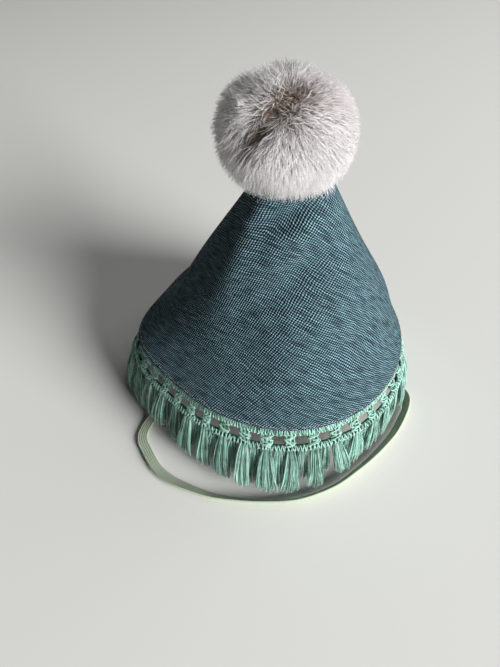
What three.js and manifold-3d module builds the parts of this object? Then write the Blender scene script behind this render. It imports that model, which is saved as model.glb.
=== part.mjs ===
// A small cone party hat of woven cloth with a fur pompom on its tip, a crochet tassel fringe sewn
// inside its rim and a flat elastic chin strap.
//
// Millimetres, +Z up. The origin is on the floor under the middle of the hat, which stands on the
// tips of its tassels, and the front of the hat faces -Y. Azimuths are degrees round +Z from +X, so
// 180 is the hat's left as seen from the front, and 270 its front.

import * as THREE from 'three';
import { mergeVertices } from 'three/addons/utils/BufferGeometryUtils.js';
import Module from 'manifold-3d';

const wasm = await Module();
wasm.setup();

// Driving dimensions
const RIM_HEIGHT = 33; // the cloth's lower edge above the floor
const CLOTH_WALL = 1.9; // across the wall, measured level
const PIECE_GAP = 0.4; // between pieces that touch on the real hat
const ROUND_SEGMENTS = 48; // facets round the crown and the heading
const DEGREE = Math.PI / 180;
const { lerp, euclideanModulo, seededRandom } = THREE.MathUtils;

// Where the round, upright hat has its middle, so that the folded one stands centred on the origin
const HAT_CENTRE = { x: 0.6, y: 0.5 };

// Crown: one row a section, with its height above the rim, its mean radius and how far the cone's
// middle has slipped towards +X there.
const CROWN_SECTIONS = [
  { height: 0, radius: 60, slip: 0 },
  { height: 10, radius: 51.6, slip: 3.3 },
  { height: 24, radius: 43.3, slip: 6.1 },
  { height: 46, radius: 28.8, slip: 6.7 },
  { height: 70, radius: 14.2, slip: 7.8 },
  { height: 78, radius: 9.4, slip: 8 },
];
const CROWN_SHOULDER = 78; // where the side ends and the blunt tip starts
const CROWN_TIP = 82;
const CROWN_LEVELS = 15; // rings up the side
const HEM_ROUNDING = 0.6; // how far the turned edge bulges below the rim

// Folds and dents of the cloth: middle (azimuth, height above the rim), half width in degrees,
// spread in height, depth (negative is inwards) and how far the fold climbs for each degree round.
const CROWN_FOLDS = [
  { azimuth: 229, halfWidth: 33, height: 0, spread: 45, depth: -7.6, climb: 0 }, // flattened left front
  { azimuth: 155, halfWidth: 26, height: 2, spread: 20, depth: -5.9, climb: 0 }, // hollow at the left back
  { azimuth: 187, halfWidth: 18, height: 0, spread: 8, depth: 1.2, climb: 0 }, // rim's left corner
  { azimuth: 263, halfWidth: 34, height: 65, spread: 4, depth: -4.4, climb: 0.11 }, // crease below the pompom
  { azimuth: 275, halfWidth: 26, height: 46, spread: 8.3, depth: -4.1, climb: 0.2 }, // across the front
  { azimuth: 253, halfWidth: 11, height: 19, spread: 9, depth: -1.4, climb: 0 }, // above the front rim
  { azimuth: 221, halfWidth: 17, height: 48, spread: 30, depth: 3.1, climb: -0.18 }, // ridge up the left front
  { azimuth: 328, halfWidth: 40, height: 25, spread: 9, depth: -1.8, climb: 0.14 }, // across the right front
  { azimuth: 300, halfWidth: 32, height: 0, spread: 12, depth: 1.1, climb: 0 }, // rim's right front
  { azimuth: 238, halfWidth: 15, height: 0, spread: 9, depth: 1.2, climb: 0 }, // rim's left front
];
const FOLD_FADE_RADIUS = 8; // folds die out inside this radius, at the closed tip

// Fringe trim: the heading runs on down the cone's slope from behind the rim.
const HEADING_TUCK = 4; // height that is hidden behind the cloth
const HEADING_DROP = 10; // height that hangs below the rim
const HEADING_SPREAD = 6; // how much wider it gets over that drop
const HEADING_WALL = 1.8;
const TRIM_REPEATS = 42; // holes, and posts between them
const TRIM_TURN = 2.7; // azimuth of the first post
const HOLE_WIDTH = 5;
const HOLE_TOP = 4.7; // below the rim
const HOLE_BOTTOM = 7.4;

// Tassels: one in front under each post, and one set back behind each hole.
const TASSEL_TOP = 9.1; // below the rim, inside the heading's lower chain
const TASSEL_ROWS = [
  { setBack: 0, swungIn: 0, rootHalfWidth: 1.5, tipHalfWidth: 2.9 },
  { setBack: 0.6, swungIn: 2.2, rootHalfWidth: 1.4, tipHalfWidth: 2.1 },
];
const TASSEL_HALF_DEPTH = { root: 0.8, tip: 1 };
const TASSEL_FLARE = { least: 2.9, spread: 2 }; // how far the tip swings out
const TASSEL_LIFT = { most: 7, bias: 2.2 }; // height of a tip above the floor; a larger bias, more low ones
const TASSEL_REST = 0.8; // a tip that comes this close to the floor rests on it
const TASSEL_SWAY = 0.8; // largest sideways swing of a tip, in degrees round the hat
const TASSEL_SIDES = 5;
const TASSEL_STEPS = 2;
const TASSEL_SEED = 7; // for the chance differences between tassels

// Where the tassels hang differently: those in front and at the left swing out further, those at the
// right front less, and those above the elastic are lifted off the floor.
const TASSEL_REGIONS = [
  { azimuth: 266, halfWidth: 24, flare: 3.2, lift: 3.4 },
  { azimuth: 186, halfWidth: 18, flare: 2.5, lift: 0 },
  { azimuth: 314, halfWidth: 26, flare: -3, lift: 4 },
  { azimuth: 211, halfWidth: 9, flare: 0, lift: 4 },
  { azimuth: 349, halfWidth: 9, flare: 0, lift: 4 },
];

// Pompom
const POMPOM_CENTRE = new THREE.Vector3(4.6, 0, 120.6);
const POMPOM_RADII = new THREE.Vector3(25, 24.5, 22.4); // to the ends of the longest locks
const POMPOM_CORE = 0.78; // radius of the core as a share of the whole
const CORE_FACETS = { round: 16, up: 10 };
const LOCK_COUNT = 34;
const LOCK_REACH = { least: 1.0, spread: 0.07 }; // how far a lock's end comes, as a share of the whole
const LOCK_HALF_WIDTH = 6.5;
const LOCK_HALF_LENGTH = 7.5;
const LOCK_SEED = 3; // for the chance differences between locks

// Chin elastic: standing is 0 where the band lies flat or hangs with its face to the wall, and 1 or -1
// where it stands on its edge. Below 0 it is the outer edge that is raised.
const ELASTIC_WIDTH = 4.5;
const ELASTIC_THICKNESS = 1;
const ELASTIC_EDGE = 0.3; // rounding of its edges
const ELASTIC_STEPS = 38;
const ELASTIC_ROUTE = [
  { x: -42.2, y: -18.1, z: 35.5, standing: 0 },
  { x: -42.9, y: -18.4, z: 28, standing: 0 },
  { x: -44.2, y: -19.1, z: 19.5, standing: 0 },
  { x: -46.6, y: -20.9, z: 11.5, standing: 0 },
  { x: -49.3, y: -24.2, z: 5.2, standing: 0 },
  { x: -51.7, y: -29.4, z: 1.9, standing: 0 },
  { x: -54.3, y: -34.2, z: 0.8, standing: 0 },
  { x: -55.4, y: -39, z: 0.8, standing: 0 },
  { x: -54.6, y: -43.2, z: 0.9, standing: -0.05 },
  { x: -52.5, y: -46.9, z: 0.9, standing: -0.05 },
  { x: -50, y: -51.3, z: 1.1, standing: -0.1 },
  { x: -46.8, y: -55.8, z: 1.2, standing: -0.15 },
  { x: -39.8, y: -61.6, z: 1.5, standing: -0.25 },
  { x: -32.4, y: -65.2, z: 1.8, standing: -0.35 },
  { x: -22.8, y: -68.7, z: 2, standing: -0.45 },
  { x: -13.5, y: -70.4, z: 2.2, standing: -0.55 },
  { x: -2, y: -71.3, z: 2.3, standing: -0.6 },
  { x: 12.3, y: -70.4, z: 2.4, standing: -0.65 },
  { x: 20.3, y: -67.8, z: 2.4, standing: -0.65 },
  { x: 28.8, y: -63.7, z: 2.4, standing: -0.65 },
  { x: 35.7, y: -58.8, z: 2.4, standing: -0.65 },
  { x: 42.5, y: -53.3, z: 2.3, standing: -0.6 },
  { x: 50, y: -46.2, z: 2.2, standing: -0.55 },
  { x: 57, y: -38.3, z: 2.1, standing: -0.5 },
  { x: 62, y: -30.6, z: 2.1, standing: -0.5 },
  { x: 65, y: -25.1, z: 2.3, standing: -0.6 },
  { x: 66.2, y: -18.6, z: 1.8, standing: -0.35 },
  { x: 64.8, y: -13, z: 0.8, standing: 0 },
  { x: 61, y: -9.8, z: 1.9, standing: 0 },
  { x: 57.4, y: -8.5, z: 5.2, standing: 0 },
  { x: 54.9, y: -8, z: 11.5, standing: 0 },
  { x: 53.9, y: -7.8, z: 19.5, standing: 0 },
  { x: 53.3, y: -7.7, z: 28, standing: 0 },
  { x: 52.9, y: -7.6, z: 35.5, standing: 0 },
];

// Finishes
const CLOTH = new THREE.MeshStandardMaterial({ color: '#51666f', roughness: 0.9, metalness: 0 });
const FUR = new THREE.MeshStandardMaterial({ color: '#cfc9c9', roughness: 0.95, metalness: 0 });
const YARN = new THREE.MeshStandardMaterial({ color: '#7fa596', roughness: 0.8, metalness: 0 });
const ELASTIC = new THREE.MeshStandardMaterial({ color: '#a3b59a', roughness: 0.75, metalness: 0 });

// 1 at the middle of a swelling and 0 well outside it
function swelling(distance, halfWidth) {
  return Math.exp(-((distance / halfWidth) ** 2));
}

// The turn from one azimuth to another, from -180 to 180 degrees
function turnBetween(from, to) {
  return euclideanModulo(to - from + 180, 360) - 180;
}

const sections = new THREE.CubicInterpolant(
  CROWN_SECTIONS.map((row) => row.height),
  CROWN_SECTIONS.flatMap((row) => [row.radius, row.slip]),
  2,
);

function crownRadius(height) {
  return sections.evaluate(height)[0];
}

function crownSlip(height) {
  return sections.evaluate(height)[1];
}

function foldDepth(azimuth, height) {
  let depth = 0;
  for (const fold of CROWN_FOLDS) {
    const turn = turnBetween(fold.azimuth, azimuth);
    const rise = height - fold.height - fold.climb * turn;
    depth += fold.depth * swelling(turn, fold.halfWidth) * swelling(rise, fold.spread);
  }
  return depth;
}

// Presses a round, upright shape into the hat's own slipped and folded form. What hangs below the rim
// follows the rim.
function foldCloth(geometry) {
  const position = geometry.attributes.position;
  for (let i = 0; i < position.count; i++) {
    const x = position.getX(i);
    const y = position.getY(i);
    const z = position.getZ(i);
    const height = Math.max(z - RIM_HEIGHT, 0);
    const angle = Math.atan2(y, x);
    const round = Math.hypot(x, y);
    const radius = round + foldDepth(angle / DEGREE, height) * Math.min(round / FOLD_FADE_RADIUS, 1);
    const middle = HAT_CENTRE.x + crownSlip(height);
    position.setXYZ(i, middle + radius * Math.cos(angle), HAT_CENTRE.y + radius * Math.sin(angle), z);
  }
  return geometry;
}

// Turns a profile of (radius, height above the rim) round the upright axis
function turned(profile, segments) {
  const points = profile.map(([radius, height]) => new THREE.Vector2(radius, height));
  return new THREE.LatheGeometry(points, segments).rotateX(Math.PI / 2).translate(0, 0, RIM_HEIGHT);
}

// Joining and cutting
function toSolid(geometry) {
  const bare = geometry.clone();
  bare.deleteAttribute('normal');
  bare.deleteAttribute('uv');
  const merged = mergeVertices(bare, 1e-4);
  const corners = merged.index.array;
  const triangles = [];
  for (let i = 0; i < corners.length; i += 3) {
    const [a, b, c] = corners.slice(i, i + 3);
    if (a !== b && b !== c && c !== a) triangles.push(a, b, c);
  }
  return new wasm.Manifold(new wasm.Mesh({
    numProp: 3,
    vertProperties: Float32Array.from(merged.attributes.position.array),
    triVerts: Uint32Array.from(triangles),
  }));
}

function toGeometry(solid) {
  const mesh = solid.getMesh();
  const geometry = new THREE.BufferGeometry();
  geometry.setAttribute('position', new THREE.BufferAttribute(Float32Array.from(mesh.vertProperties), 3));
  geometry.setIndex(new THREE.BufferAttribute(Uint32Array.from(mesh.triVerts), 1));
  return geometry;
}

// Crown
function crownSide(inset) {
  const side = [];
  for (let level = 0; level <= CROWN_LEVELS; level++) {
    const height = (CROWN_SHOULDER * level) / CROWN_LEVELS;
    side.push([crownRadius(height) - inset, height]);
  }
  return side;
}

function crownGeometry() {
  const outer = [...crownSide(0), [0, CROWN_TIP]];
  const inner = [...crownSide(CLOTH_WALL), [0, CROWN_TIP - CLOTH_WALL]];
  const hem = [crownRadius(0) - CLOTH_WALL / 2, -HEM_ROUNDING];
  return foldCloth(turned([...inner.reverse(), hem, ...outer], ROUND_SEGMENTS));
}

// The crown's outer form, solid and a gap larger, to cut the pompom's socket with
function crownRoom() {
  const side = crownSide(-PIECE_GAP);
  return foldCloth(turned([[0, 0], ...side, [0, CROWN_TIP + PIECE_GAP]], ROUND_SEGMENTS));
}

// Fringe trim
function headingRadius(height) {
  const fall = Math.max(-height, 0);
  return crownRadius(height) - CLOTH_WALL - PIECE_GAP + (HEADING_SPREAD * fall) / HEADING_DROP;
}

function headingGeometry() {
  const heights = [-HEADING_DROP, 0, HEADING_TUCK];
  const outer = heights.map((height) => [headingRadius(height), height]);
  const inner = heights.map((height) => [headingRadius(height) - HEADING_WALL, height]).reverse();
  return turned([...outer, ...inner, outer[0]], ROUND_SEGMENTS);
}

function holeGeometry(azimuth) {
  const middle = -(HOLE_TOP + HOLE_BOTTOM) / 2;
  const hole = new THREE.BoxGeometry(4 * HEADING_WALL, HOLE_WIDTH, HOLE_BOTTOM - HOLE_TOP);
  hole.translate(headingRadius(middle) - HEADING_WALL / 2, 0, RIM_HEIGHT + middle);
  return hole.rotateZ(azimuth * DEGREE);
}

// A lock of yarn: narrow where it is knotted into the heading, spread and swung out at its tip
function tasselGeometry(azimuth, row, flare, lift, sway) {
  const lock = new THREE.CylinderGeometry(1, 1, 1, TASSEL_SIDES, TASSEL_STEPS);
  const position = lock.attributes.position;
  const top = RIM_HEIGHT - TASSEL_TOP;
  const root = headingRadius(-TASSEL_TOP) - HEADING_WALL / 2 - row.setBack;
  for (let i = 0; i < position.count; i++) {
    const along = 0.5 - position.getY(i);
    const across = position.getX(i) * lerp(row.rootHalfWidth, row.tipHalfWidth, along);
    const depth = position.getZ(i) * lerp(TASSEL_HALF_DEPTH.root, TASSEL_HALF_DEPTH.tip, along);
    const out = root + (flare - row.swungIn) * Math.sin((along * Math.PI) / 2) + depth;
    const turn = (azimuth + sway * along) * DEGREE;
    const height = lerp(top, lift, along);
    const x = out * Math.cos(turn) - across * Math.sin(turn);
    const y = out * Math.sin(turn) + across * Math.cos(turn);
    position.setXYZ(i, x, y, height);
  }
  return lock;
}

function tasselSolids() {
  seededRandom(TASSEL_SEED);
  const tassels = [];
  for (let i = 0; i < 2 * TRIM_REPEATS; i++) {
    const azimuth = TRIM_TURN + (i * 180) / TRIM_REPEATS;
    let flare = TASSEL_FLARE.least + TASSEL_FLARE.spread * seededRandom();
    let lift = TASSEL_LIFT.most * seededRandom() ** TASSEL_LIFT.bias;
    const sway = TASSEL_SWAY * (2 * seededRandom() - 1);
    for (const region of TASSEL_REGIONS) {
      const share = swelling(turnBetween(region.azimuth, azimuth), region.halfWidth);
      flare += region.flare * share;
      lift = Math.max(lift, region.lift * Math.min(2 * share, 1));
    }
    if (lift < TASSEL_REST) lift = 0;
    const row = TASSEL_ROWS[i % TASSEL_ROWS.length];
    tassels.push(toSolid(tasselGeometry(azimuth, row, flare, lift, sway)));
  }
  return tassels;
}

function fringeGeometry() {
  let trim = toSolid(headingGeometry());
  for (let i = 0; i < TRIM_REPEATS; i++) {
    trim = trim.subtract(toSolid(holeGeometry(TRIM_TURN + ((i + 0.5) * 360) / TRIM_REPEATS)));
  }
  for (const tassel of tasselSolids()) trim = trim.add(tassel);
  return foldCloth(toGeometry(trim));
}

// Pompom
function lockGeometry(direction, reach) {
  const whole = 1 / direction.clone().divide(POMPOM_RADII).length();
  const lock = new THREE.IcosahedronGeometry(1);
  lock.scale(LOCK_HALF_WIDTH, LOCK_HALF_LENGTH, LOCK_HALF_WIDTH);
  lock.translate(0, reach * whole - LOCK_HALF_LENGTH, 0);
  const up = new THREE.Vector3(0, 1, 0);
  lock.applyQuaternion(new THREE.Quaternion().setFromUnitVectors(up, direction));
  return lock.translate(POMPOM_CENTRE.x, POMPOM_CENTRE.y, POMPOM_CENTRE.z);
}

function pompomGeometry() {
  seededRandom(LOCK_SEED);
  const goldenTurn = Math.PI * (3 - Math.sqrt(5));
  const core = new THREE.SphereGeometry(POMPOM_CORE, CORE_FACETS.round, CORE_FACETS.up);
  core.scale(POMPOM_RADII.x, POMPOM_RADII.y, POMPOM_RADII.z);
  core.translate(POMPOM_CENTRE.x, POMPOM_CENTRE.y, POMPOM_CENTRE.z);
  let ball = toSolid(core);
  for (let i = 0; i < LOCK_COUNT; i++) {
    const rise = 1 - (2 * i + 1) / LOCK_COUNT;
    const flat = Math.sqrt(1 - rise * rise);
    const angle = i * goldenTurn;
    const direction = new THREE.Vector3(flat * Math.cos(angle), flat * Math.sin(angle), rise);
    const reach = LOCK_REACH.least + LOCK_REACH.spread * seededRandom();
    ball = ball.add(toSolid(lockGeometry(direction, reach)));
  }
  return toGeometry(ball.subtract(toSolid(crownRoom())));
}

// Chin elastic: a flat band whose width turns from level to upright along its route
class ElasticRoute extends THREE.CatmullRomCurve3 {
  constructor() {
    super(ELASTIC_ROUTE.map((row) => new THREE.Vector3(row.x, row.y, row.z)));
  }

  standingAt(share) {
    const place = this.getUtoTmapping(share) * (ELASTIC_ROUTE.length - 1);
    const row = Math.min(Math.floor(place), ELASTIC_ROUTE.length - 2);
    return lerp(ELASTIC_ROUTE[row].standing, ELASTIC_ROUTE[row + 1].standing, place - row);
  }

  computeFrenetFrames(segments) {
    const frames = { tangents: [], normals: [], binormals: [] };
    for (let i = 0; i <= segments; i++) {
      const along = this.getTangentAt(i / segments);
      const tilt = (this.standingAt(i / segments) * Math.PI) / 2;
      const width = new THREE.Vector3(-along.y, along.x, 0).setLength(Math.cos(tilt));
      width.z = Math.sin(tilt);
      width.addScaledVector(along, -width.dot(along)).normalize();
      frames.tangents.push(along);
      frames.binormals.push(width);
      frames.normals.push(new THREE.Vector3().crossVectors(width, along));
    }
    return frames;
  }
}

function elasticGeometry() {
  const halfWidth = ELASTIC_WIDTH / 2;
  const half = ELASTIC_THICKNESS / 2;
  const corner = [
    [half, halfWidth - ELASTIC_EDGE],
    [half - ELASTIC_EDGE, halfWidth],
  ];
  const section = new THREE.Shape([
    ...corner.map(([x, y]) => new THREE.Vector2(x, y)),
    ...corner.map(([x, y]) => new THREE.Vector2(-x, y)).reverse(),
    ...corner.map(([x, y]) => new THREE.Vector2(-x, -y)),
    ...corner.map(([x, y]) => new THREE.Vector2(x, -y)).reverse(),
  ]);
  return new THREE.ExtrudeGeometry(section, { steps: ELASTIC_STEPS, extrudePath: new ElasticRoute() });
}

function named(name, geometry, material) {
  const mesh = new THREE.Mesh(geometry, material);
  mesh.name = name;
  return mesh;
}

const partyHat = new THREE.Group();
partyHat.add(named('crown', crownGeometry(), CLOTH));
partyHat.add(named('pompom', pompomGeometry(), FUR));
partyHat.add(named('fringe_trim', fringeGeometry(), YARN));
partyHat.add(named('chin_elastic', elasticGeometry(), ELASTIC));

export default partyHat;
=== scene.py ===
"""Looks of a small cone party hat: woven crown, fur pompom, crochet tassel trim and chin elastic.

Metres, in the frame of the part: +Z up, the origin on the floor under the middle of the hat, which stands
on the tips of its tassels, and its front towards -Y. Azimuths are degrees round +Z from +X, so 270 is the
front.
"""

import math

import bmesh
import bpy
import numpy as np
from bpy.props import FloatProperty, FloatVectorProperty, IntProperty, PointerProperty
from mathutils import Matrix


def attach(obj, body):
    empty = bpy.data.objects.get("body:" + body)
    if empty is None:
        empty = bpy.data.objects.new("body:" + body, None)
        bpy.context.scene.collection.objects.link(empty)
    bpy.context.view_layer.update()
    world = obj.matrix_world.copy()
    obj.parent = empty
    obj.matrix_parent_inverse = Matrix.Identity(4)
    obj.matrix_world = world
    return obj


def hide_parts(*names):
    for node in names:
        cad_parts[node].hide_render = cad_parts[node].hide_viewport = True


bl_info = {
    "name": "Party hat",
    "version": (1, 0, 0),
    "blender": (4, 5, 0),
    "location": "View3D > Sidebar > Party hat",
    "description": "Makes the cloth, fur, yarn and elastic of a small cone party hat",
    "category": "Object",
}

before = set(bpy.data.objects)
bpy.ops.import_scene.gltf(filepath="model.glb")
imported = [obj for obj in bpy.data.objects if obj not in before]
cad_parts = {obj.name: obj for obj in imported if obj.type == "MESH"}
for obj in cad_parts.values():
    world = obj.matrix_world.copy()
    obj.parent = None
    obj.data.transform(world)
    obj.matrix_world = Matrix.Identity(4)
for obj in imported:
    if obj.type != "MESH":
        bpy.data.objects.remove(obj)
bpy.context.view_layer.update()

MM = 0.001
UP = np.array((0.0, 0.0, 1.0))
TINY = 1e-6  # too small a distance to matter

# Crown: height above the rim, mean radius and how far the cone's middle has slipped towards +X, each in
# millimetres
RIM_HEIGHT = 33 * MM
CLOTH_WALL = 1.9 * MM
HAT_CENTRE = np.array((0.6, 0.5)) * MM
CROWN_SECTIONS = np.array((
    (0, 60, 0),
    (10, 51.6, 3.3),
    (24, 43.3, 6.1),
    (46, 28.8, 6.7),
    (70, 14.2, 7.8),
    (78, 9.4, 8),
)) * MM
CROWN_SHOULDER = 78 * MM
CROWN_TIP = 82 * MM
TIP_ROUNDING = 1 * MM
CROWN_SEGMENTS = 192
CROWN_LEVELS = 52
CLOTH_THICKNESS = 1 * MM  # square to the face
HEM_HEIGHT = 1 * MM  # edges of the hem lie lower than this above the rim
HEM_SHARP = 1  # radians between the faces at an edge of the hem, at least
HEM_ROUNDING = 0.4 * MM
BACK_LEAST = 0.3  # how far a face of the cloth's back looks inwards, at least
STITCH_LENGTH = 0.8 * MM
STITCH_RADIUS = 0.14 * MM
STITCH_HEIGHT = 0.9 * MM
STITCH_STRAY = (0.22, 0.16 * MM)  # degrees along the rim, and upwards
STITCH_POINTS = 5
STITCH_SEED = 21

# The cloth was cut flat as a sector of a circle, whose two edges meet in a seam at the back
CONE_SINE = 0.545  # of the cone's half angle
SEAM_AZIMUTH = 90
WEAVE_TURN = 62  # of the weave's stronger diagonal, from the front's level line
# Painted light: the second set of floats is made to show more on the hat's left, where grazing light brings
# it out, and differs in random patches
SIDE_LIGHT_REACH = 30 * MM
SECOND_SET_PATCH = 9 * MM
SIDE_LIGHT_SHARES = (0.75, 0.3)  # of the second set of floats, at the left and at the right
YARN_WANDER = 0.8  # of a row

# Folds of the cloth: azimuth and half width in degrees, height above the rim, spread and depth in
# millimetres, and how many millimetres the fold climbs for each degree round
CROWN_FOLDS = (
    (229, 33, 0, 45, -7.6, 0),
    (155, 26, 2, 20, -5.9, 0),
    (187, 18, 0, 8, 1.2, 0),
    (263, 34, 65, 4, -4.4, 0.11),
    (275, 26, 46, 8.3, -4.1, 0.2),
    (253, 11, 19, 9, -1.4, 0),
    (221, 17, 48, 30, 3.1, -0.18),
    (328, 40, 25, 9, -1.8, 0.14),
    (300, 32, 0, 12, 1.1, 0),
    (238, 15, 0, 9, 1.2, 0),
)
FOLD_FADE_RADIUS = 8 * MM

# Trim: the heading runs on down the slope of the cone from behind the rim. Drops are measured below it.
TRIM_REPEATS = 42
TRIM_TURN = 2.7
HEADING_GAP = 0.4 * MM
HEADING_TUCK = 4 * MM
HEADING_DROP = 10 * MM
HEADING_SPREAD = 6 * MM
HEADING_WALL = 1.8 * MM
HOLE_TOP = 4.7 * MM
HOLE_BOTTOM = 7.4 * MM
POST_HALF_WIDTH = 2.55 * MM
POST_HALF_DEPTH = 0.7 * MM
POST_OVERLAP = 0.7 * MM  # onto the bands above and below the holes
POST_TURNS = 1.6
POST_STRAY = 1.2  # radians, in the turn of a yarn
POST_SPREAD = (0.6, 1.05)  # of a post's half width that a yarn winds over
POST_TONES = (0.7, 0.2)  # of the winding and of the straight yarns
POST_TONE_SPREAD = 0.15
POST_CORE = 1.7  # thickness of the straight yarns, in yarns
POST_POINTS = 25
HEADING_SEED = 9

# Yarns of a post: the hand that each winds by, or 0 where it runs straight, and how far off the post's middle
# it lies, in half widths
POST_YARNS = ((-1, 0), (1, 0), (-1, 0), (1, 0), (0, -0.6), (0, 0), (0, 0.6))

# Ground behind the yarn of the heading, and how far its edges stay back from the top of the holes, from their
# bottom and from the end of the heading
BACKING_WALL = 0.8 * MM
BACKING_MARGINS = np.array((0.5, 0.4, 0.6)) * MM
# Painted shade: the backing takes a tone below any yarn's, so it shows the darkest colour
BACKING_PAINTED_SHADE = -0.5

# Coils of yarn that wind along the rim: drop of their middle below it, half height, half depth and the pitch
# of a turn in millimetres, and tone. Two of opposite hands cross into each band.
RIM_COILS = (
    (1.9, 2.0, 0.55, 0.95, 0.35),
    (2.3, 1.8, 0.6, -1.05, 0.5),
    (3.35, 0.75, 0.65, 1.45, 0.75),
    (8.65, 0.85, 0.65, 1.7, 0.8),
    (8.85, 0.8, 0.7, -1.45, 0.65),
)
COIL_POINTS = 10  # in a turn
COIL_WAVES = 5
COIL_WAVE = (0.3, 0.6)  # least and greatest size of a wave
COIL_UNEVEN = (0.8, 0.15)  # of its phase and of its height
COIL_SHADE = 0.28
COIL_STRETCH = 7  # points of one shade

# Tassels: one under each post and one set back behind each hole, with how far each row is set back and swung
# in and its half width at root and tip, in millimetres
TASSEL_TOP = 9.1 * MM
TASSEL_ROWS = np.array((
    (0, 0, 1.5, 2.9),
    (0.6, 2.2, 1.4, 2.1),
)) * MM
TASSEL_HALF_DEPTH = np.array((0.8, 1.0)) * MM
TASSEL_FLARE = np.array((2.9, 2)) * MM  # least, and how much more
TASSEL_LIFT = 7 * MM
TASSEL_LIFT_BIAS = 2.2
TASSEL_REST = 0.8 * MM
TASSEL_SWAY = 0.8
TASSEL_SEED = 7
TASSEL_DRIFT = 0.8 * MM  # to either side, of a tip
TASSEL_TONES = (0.36, 0.3)
TASSEL_TONE_SPREAD = 0.25
TASSEL_TIP_TONE = 0.25  # paler at the tip than at the root
TASSEL_FULLNESS = (1.38, 1.65)  # soft strands spread beyond the locks that they stand for
TASSEL_POINT = np.array((1.5, 1)) * MM  # how much shorter the strands at its sides are
TASSEL_RAGGED = np.array((0.9, 2.4)) * MM  # of a tip, and how much more where they are thinnest
THIN_TASSELS = (316, 24)  # azimuth and half width in degrees
STRAND_POINTS = 6
STRAND_WANDER = 0.25 * MM
STRAND_UNEVEN = (0.8, 1.15)  # least and greatest, of thickness and of fullness
STRAND_TAPER = 0.45
STRAND_CLEARANCE = 0.3 * MM  # above the floor
STRAND_SEED = 3

# Where tassels hang differently: azimuth and half width in degrees, extra swing out and lift in millimetres
TASSEL_REGIONS = (
    (266, 24, 3.2, 3.4),
    (186, 18, 2.5, 0),
    (314, 26, -3, 4),
    (211, 9, 0, 4),
    (349, 9, 0, 4),
)

# Pompom: a ball of long pile that sits on the crown's tip
POMPOM_CENTRE = np.array((4.6, 0, 120.6)) * MM
POMPOM_RADII = np.array((25, 24.5, 22.4)) * MM
POMPOM_CORE = 0.62  # radius of the core as a share of the whole
LOWEST_ROOT = -0.7  # below this the crown's tip is in the way
CROWN_CLEARANCE = 0.5 * MM

# Grooves where the pile parts, one down the left front and one over the top: azimuth and elevation in degrees
# of points along each. Hairs lean away from a groove and are shorter in it.
PILE_GROOVES = (
    ((285, 66), (266, 60), (250, 46), (240, 30), (224, 16)),
    ((137, 63), (90, 79), (26, 63)),
)
GROOVE_LEAN = 0.12
GROOVE_REACH = 0.3
GROOVE_DEPTH = 0.22  # as a share of the ball's radius
GROOVE_HALF_WIDTH = 0.15
GROOVE_SOFTNESS = 0.08  # distance over which the lean sets in
# Painted shade: how much paler tone the hairs in a groove lose
GROOVE_PAINTED_SHADE = 0.5
GROOVE_POINTS = 60

# Hairs: how they hang, bend, taper and differ in length and shade, with ends painted paler towards a low
# front side as painted light
PILE_SAG = 0.26
# Painted light: the side of the ball where the hairs' ends are painted palest, and the tone square to it
PAINTED_LIGHT_SIDE = (249, -30)  # azimuth and elevation in degrees
PAINTED_LIGHT_MIDDLE = 0.3  # tone square to that side
LONGEST_HAIR = 1.02  # as a share of the ball's radius
HAIR_JITTER = 0.04
HAIR_BEND = 1.4
HAIR_TAPER = 0.75
HAIR_UNEVEN = 0.3
HAIR_TONE_SPREAD = 0.06
PILE_FLOOR = 0.55  # share of the radius where a hair has its root's colour, and where its end's
PILE_TOP = 0.98
PILE_SEED = 5

# Layers of hair: piece, setting that counts them, root and reach as shares of the ball's radius, how much the
# reach differs, how far the ends gather into locks, points along a hair, and thickness
PILE_LAYERS = (
    ("pompom_underfur", "underfur", 0.58, 0.86, 0.05, 0.3, 3, 1.4),
    ("pompom_pile", "pile", 0.58, 0.96, 0.07, 1, 4, 1),
    ("pompom_guard_hairs", "guard", 0.6, 0.96, 0.07, 0.5, 3, 0.7),
)

# Locks that the pile gathers into, most in the rough part at the upper left and least on the smooth right
LOCKS = 700
LOCK_LEAN = 0.27
LOCK_JITTER = 0.05
LOCK_UNEVEN = 1.2
LOCK_TONE_SPREAD = 0.15
LOCK_CURVE = 1.5
LOCK_GATHER = 0.6  # of the ends of a lock's hairs, at least
ROUGH_SPOT = (218, 48)
ROUGH_REACH = 0.8
ROUGH_LEAST = 0.15  # far from that spot
ROUGH_BELOW = 0.6  # at the underside
LONG_SPOT = (90, 50)  # the pile is longest at the back of the top
LONG_REACH = 0.7
LONG_EXTRA = 0.04

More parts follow.
